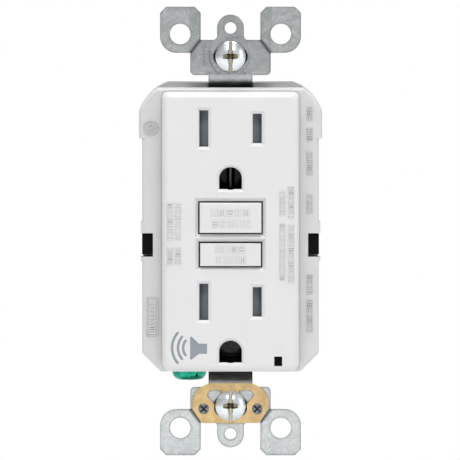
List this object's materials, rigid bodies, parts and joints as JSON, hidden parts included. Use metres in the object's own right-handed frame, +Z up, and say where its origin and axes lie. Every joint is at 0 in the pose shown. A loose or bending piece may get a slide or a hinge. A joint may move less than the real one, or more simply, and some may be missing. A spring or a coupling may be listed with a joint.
{
  "type": "gfci outlet",
  "caption": "Ground-fault duplex receptacle on a steel yoke, with reset and test buttons, shuttered slots and screw terminals.",
  "frame": {"origin": "on the wall plane, which is the back of the yoke's ears, midway between the two box screws", "axes": "+X to the right seen from the front, +Y into the wall, +Z up"},
  "size_m": [0.0436, 0.035, 0.107],
  "materials": {
    "white_plastic": "satin",
    "grey_plastic": "matte",
    "black_plastic": "matte",
    "galvanised_steel": "satin",
    "brass": "satin",
    "nickel_brass": "satin",
    "dark_steel": "satin",
    "bright_zinc": "polished",
    "spring_steel": "satin",
    "silver_contact": "polished",
    "circuit_green": "satin",
    "copper": "gloss",
    "natural_nylon": "satin",
    "red_coating": "gloss",
    "blue_coating": "gloss",
    "lamp": "gloss",
    "shutter_blue": "matte",
    "fibre": "matte",
    "green_zinc": "gloss"
  },
  "bodies": {
    "housing": {"front_cover": "white_plastic", "rear_housing": "grey_plastic", "separator": "black_plastic", "mounting_strap": "galvanised_steel", "grounding_clip": "brass", "clip_rivets": "dark_steel", "ground_contacts": "brass", "housing_screws": "bright_zinc", "hot_load_bus": "brass", "neutral_load_bus": "nickel_brass", "fixed_contact_points": "silver_contact", "line_hot_conductor": "brass", "line_neutral_conductor": "nickel_brass", "circuit_board": "circuit_green", "sense_coil": "copper", "grounded_neutral_coil": "copper", "transformer_case": "black_plastic", "solenoid_bobbin": "natural_nylon", "solenoid_winding": "copper", "solenoid_frame": "spring_steel", "surge_suppressor": "red_coating", "controller_chip": "black_plastic", "board_components": "blue_coating", "buzzer": "black_plastic", "status_led": "lamp", "light_pipe": "black_plastic", "test_post": "silver_contact", "shutter_trays": "natural_nylon", "reset_spring": "spring_steel", "plunger_spring": "spring_steel", "upper_shutter_spring": "spring_steel", "lower_shutter_spring": "spring_steel"},
    "reset_key": {"reset_button": "white_plastic", "reset_pin": "spring_steel"},
    "lifter": {"lifter": "black_plastic", "latch_spring": "spring_steel"},
    "latch": {"latch_plate": "spring_steel"},
    "plunger": {"plunger": "spring_steel"},
    "hot_arm": {"hot_contact_arm": "brass"},
    "neutral_arm": {"neutral_contact_arm": "nickel_brass"},
    "test_key": {"test_button": "white_plastic"},
    "test_leaf": {"test_blade": "brass"},
    "upper_hot_shutter": {"upper_hot_shutter": "shutter_blue"},
    "upper_neutral_shutter": {"upper_neutral_shutter": "shutter_blue"},
    "lower_hot_shutter": {"lower_hot_shutter": "shutter_blue"},
    "lower_neutral_shutter": {"lower_neutral_shutter": "shutter_blue"},
    "upper_retainer": {"screw_retainer_upper": "fibre"},
    "upper_screw": {"mounting_screw_upper": "bright_zinc"},
    "lower_retainer": {"screw_retainer_lower": "fibre"},
    "lower_screw": {"mounting_screw_lower": "bright_zinc"},
    "ground_screw": {"ground_screw": "green_zinc"},
    "line_hot_clamp": {"line_hot_clamp": "brass"},
    "line_hot_screw": {"line_hot_screw": "brass"},
    "line_neutral_clamp": {"line_neutral_clamp": "nickel_brass"},
    "line_neutral_screw": {"line_neutral_screw": "nickel_brass"},
    "load_hot_clamp": {"load_hot_clamp": "brass"},
    "load_hot_screw": {"load_hot_screw": "brass"},
    "load_neutral_clamp": {"load_neutral_clamp": "nickel_brass"},
    "load_neutral_screw": {"load_neutral_screw": "nickel_brass"}
  },
  "joints": [
    {"name": "reset_press", "type": "slide", "parent": "housing", "child": "reset_key", "axis": [0, 1, 0], "range_m": [0, 0.0018], "stiffness_N_per_m": 300, "springref_m": -0.003, "deforming": ["reset_spring"]},
    {"name": "lifter_slide", "type": "slide", "parent": "housing", "child": "lifter", "axis": [0, 1, 0], "range_m": [0, 0.0018]},
    {"name": "hot_arm_swing", "type": "hinge", "parent": "housing", "child": "hot_arm", "pos_m": [0.0097, 0.0099, -0.012], "axis": [-1, 0, 0], "range_deg": [0, 7]},
    {"name": "neutral_arm_swing", "type": "hinge", "parent": "housing", "child": "neutral_arm", "pos_m": [-0.0097, 0.0099, -0.012], "axis": [-1, 0, 0], "range_deg": [0, 7]},
    {"name": "plunger_slide", "type": "slide", "parent": "housing", "child": "plunger", "axis": [0, 0, -1], "range_m": [0, 0.001], "stiffness_N_per_m": 150, "springref_m": -0.001, "deforming": ["plunger_spring"]},
    {"name": "latch_slide", "type": "slide", "parent": "lifter", "child": "latch", "axis": [0, 0, -1], "range_m": [0, 0.001], "deforming": ["latch_spring"]},
    {"name": "test_press", "type": "slide", "parent": "housing", "child": "test_key", "axis": [0, 1, 0], "range_m": [0, 0.0011], "stiffness_N_per_m": 300, "springref_m": -0.002},
    {"name": "test_leaf_bend", "type": "hinge", "parent": "housing", "child": "test_leaf", "pos_m": [-0.0061, 0.0072, -0.012], "axis": [-1, 0, 0], "range_deg": [0, 10]},
    {"name": "upper_hot_shutter_slide", "type": "slide", "parent": "housing", "child": "upper_hot_shutter", "axis": [-1, 0, 0], "range_m": [0, 0.003], "stiffness_N_per_m": 40, "springref_m": -0.002, "deforming": ["upper_shutter_spring"]},
    {"name": "upper_neutral_shutter_slide", "type": "slide", "parent": "housing", "child": "upper_neutral_shutter", "axis": [1, 0, 0], "range_m": [0, 0.003]},
    {"name": "lower_hot_shutter_slide", "type": "slide", "parent": "housing", "child": "lower_hot_shutter", "axis": [-1, 0, 0], "range_m": [0, 0.003], "stiffness_N_per_m": 40, "springref_m": -0.002, "deforming": ["lower_shutter_spring"]},
    {"name": "lower_neutral_shutter_slide", "type": "slide", "parent": "housing", "child": "lower_neutral_shutter", "axis": [1, 0, 0], "range_m": [0, 0.003]},
    {"name": "upper_screw_shift", "type": "slide", "parent": "housing", "child": "upper_retainer", "axis": [1, 0, 0], "range_m": [-0.002, 0.002]},
    {"name": "upper_screw_turn", "type": "hinge", "parent": "upper_retainer", "child": "upper_screw", "pos_m": [0, 0, 0.04167], "axis": [0, 1, 0], "continuous": true},
    {"name": "lower_screw_shift", "type": "slide", "parent": "housing", "child": "lower_retainer", "axis": [1, 0, 0], "range_m": [-0.0014, 0.0014]},
    {"name": "lower_screw_turn", "type": "hinge", "parent": "lower_retainer", "child": "lower_screw", "pos_m": [0, 0, -0.04167], "axis": [0, 1, 0], "continuous": true},
    {"name": "line_hot_clamp_slide", "type": "slide", "parent": "housing", "child": "line_hot_clamp", "axis": [1, 0, 0], "range_m": [0, 0.0022]},
    {"name": "line_hot_screw_turn", "type": "hinge", "parent": "housing", "child": "line_hot_screw", "pos_m": [0.018, 0.0129, -0.016], "axis": [-1, 0, 0], "range_deg": [0, 1000]},
    {"name": "line_neutral_clamp_slide", "type": "slide", "parent": "housing", "child": "line_neutral_clamp", "axis": [-1, 0, 0], "range_m": [0, 0.0022]},
    {"name": "line_neutral_screw_turn", "type": "hinge", "parent": "housing", "child": "line_neutral_screw", "pos_m": [-0.018, 0.0129, -0.016], "axis": [1, 0, 0], "range_deg": [0, 1000]},
    {"name": "load_hot_clamp_slide", "type": "slide", "parent": "housing", "child": "load_hot_clamp", "axis": [1, 0, 0], "range_m": [0, 0.0022]},
    {"name": "load_hot_screw_turn", "type": "hinge", "parent": "housing", "child": "load_hot_screw", "pos_m": [0.018, 0.0129, 0.016], "axis": [-1, 0, 0], "range_deg": [0, 1000]},
    {"name": "load_neutral_clamp_slide", "type": "slide", "parent": "housing", "child": "load_neutral_clamp", "axis": [-1, 0, 0], "range_m": [0, 0.0022]},
    {"name": "load_neutral_screw_turn", "type": "hinge", "parent": "housing", "child": "load_neutral_screw", "pos_m": [-0.018, 0.0129, 0.016], "axis": [1, 0, 0], "range_deg": [0, 1000]},
    {"name": "ground_screw_slide", "type": "slide", "parent": "housing", "child": "ground_screw", "axis": [0, 0, -1], "range_m": [0, 0.003]}
  ],
  "couplings": [
    {"joint": "lifter_slide", "follows": "reset_press", "ratio": 1},
    {"joint": "hot_arm_swing", "follows": "reset_press", "rad_per_m": 64.935},
    {"joint": "neutral_arm_swing", "follows": "reset_press", "rad_per_m": 64.935},
    {"joint": "latch_slide", "follows": "plunger_slide", "ratio": 1},
    {"joint": "test_leaf_bend", "follows": "test_press", "rad_per_m": 151.51},
    {"joint": "upper_neutral_shutter_slide", "follows": "upper_hot_shutter_slide", "ratio": 1},
    {"joint": "lower_neutral_shutter_slide", "follows": "lower_hot_shutter_slide", "ratio": 1},
    {"joint": "line_hot_screw_turn", "follows": "line_hot_clamp_slide", "rad_per_m": 7915.8},
    {"joint": "line_neutral_screw_turn", "follows": "line_neutral_clamp_slide", "rad_per_m": 7915.8},
    {"joint": "load_hot_screw_turn", "follows": "load_hot_clamp_slide", "rad_per_m": 7915.8},
    {"joint": "load_neutral_screw_turn", "follows": "load_neutral_clamp_slide", "rad_per_m": 7915.8}
  ]
}
